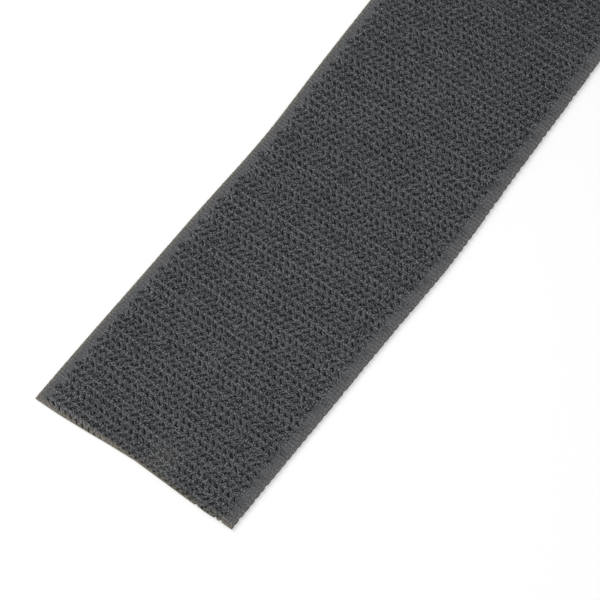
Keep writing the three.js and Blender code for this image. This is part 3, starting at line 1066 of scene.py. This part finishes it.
FLOOR_SIZE = 6.0
FLOOR_DROP = 0.05 * MM
FLOOR_COLOUR = (0.86, 0.86, 0.86, 1)
FLOOR_ROUGHNESS = 0.9
FLOOR_GLOW = 0.335
WHITE = (1, 1, 1, 1)
SKY_STRENGTH = 0.41
LIGHTS = (
    ("key", (-0.05, 1.0, 0.75), 0.9, 9.6),
    ("fill", (-0.9, -0.3, 0.9), 1.2, 2.0),
)
LENS = 168.9
SENSOR = 36.0
CAMERA_ELEVATION = math.radians(65.2)
CAMERA_HEADING = math.radians(31.85)
CAMERA_DISTANCE = 593.0
AIM_ALONG = 50.3
AIM_ACROSS = -4.96


def floor_material():
    """A pale floor that the camera and reflections see as white, without more light on the tape."""
    made = Nodes("floor_white")
    made.shader.inputs["Base Color"].default_value = FLOOR_COLOUR
    made.shader.inputs["Roughness"].default_value = FLOOR_ROUGHNESS
    path = made.add("ShaderNodeLightPath")
    seen = made.add("ShaderNodeMath", operation="MAXIMUM")
    made.link(path.outputs["Is Camera Ray"], seen.inputs[0])
    made.link(path.outputs["Is Glossy Ray"], seen.inputs[1])
    glow = made.add("ShaderNodeMath", {1: FLOOR_GLOW}, operation="MULTIPLY")
    made.link(seen.outputs["Value"], glow.inputs[0])
    made.shader.inputs["Emission Color"].default_value = WHITE
    made.link(glow.outputs["Value"], made.shader.inputs["Emission Strength"])
    return made.material


def build_floor():
    half = FLOOR_SIZE / 2
    corners = [(x, y, -FLOOR_DROP) for x, y in ((-half, -half), (half, -half), (half, half), (-half, half))]
    mesh = bpy.data.meshes.new("floor")
    mesh.from_pydata(corners, [], [(0, 1, 2, 3)])
    mesh.materials.append(floor_material())
    floor = bpy.data.objects.new("floor", mesh)
    bpy.context.scene.collection.objects.link(floor)


def area_light(name, place, aim, size, watts):
    light = bpy.data.lights.new(name, "AREA")
    light.shape = "DISK"
    light.size = size
    light.energy = watts
    lamp = bpy.data.objects.new(name, light)
    lamp.location = place
    lamp.rotation_euler = (Vector(aim) - Vector(place)).to_track_quat("-Z", "Y").to_euler()
    bpy.context.scene.collection.objects.link(lamp)


def build_light():
    world = bpy.data.worlds.new("studio")
    world.use_nodes = True
    sky = world.node_tree.nodes["Background"]
    sky.inputs["Color"].default_value = WHITE
    sky.inputs["Strength"].default_value = SKY_STRENGTH
    bpy.context.scene.world = world
    middle = tape_points(np.array(AIM_ALONG), 0.0, 0.0)
    for name, away, size, watts in LIGHTS:
        area_light(name, tuple(middle + away), tuple(middle), size, watts)


def build_camera():
    aim = Vector(tape_points(np.array(AIM_ALONG), AIM_ACROSS, 0.0))
    level = math.cos(CAMERA_ELEVATION)
    look = Vector((level * math.cos(CAMERA_HEADING), level * math.sin(CAMERA_HEADING),
                   -math.sin(CAMERA_ELEVATION)))
    data = bpy.data.cameras.new("camera")
    data.lens = LENS
    data.sensor_width = SENSOR
    camera = bpy.data.objects.new("camera", data)
    camera.location = aim - look * CAMERA_DISTANCE * MM
    camera.rotation_euler = look.to_track_quat("-Z", "Y").to_euler()
    bpy.context.scene.collection.objects.link(camera)
    bpy.context.scene.camera = camera


bpy.context.scene.view_settings.view_transform = "Standard"
build_camera()
tape_materials = weave_material(), cut_material(), coat_material(), hook_material()
dress_laid(tape_materials)
dress_wound(tape_materials)
dress_core()
build_floor()
build_light()
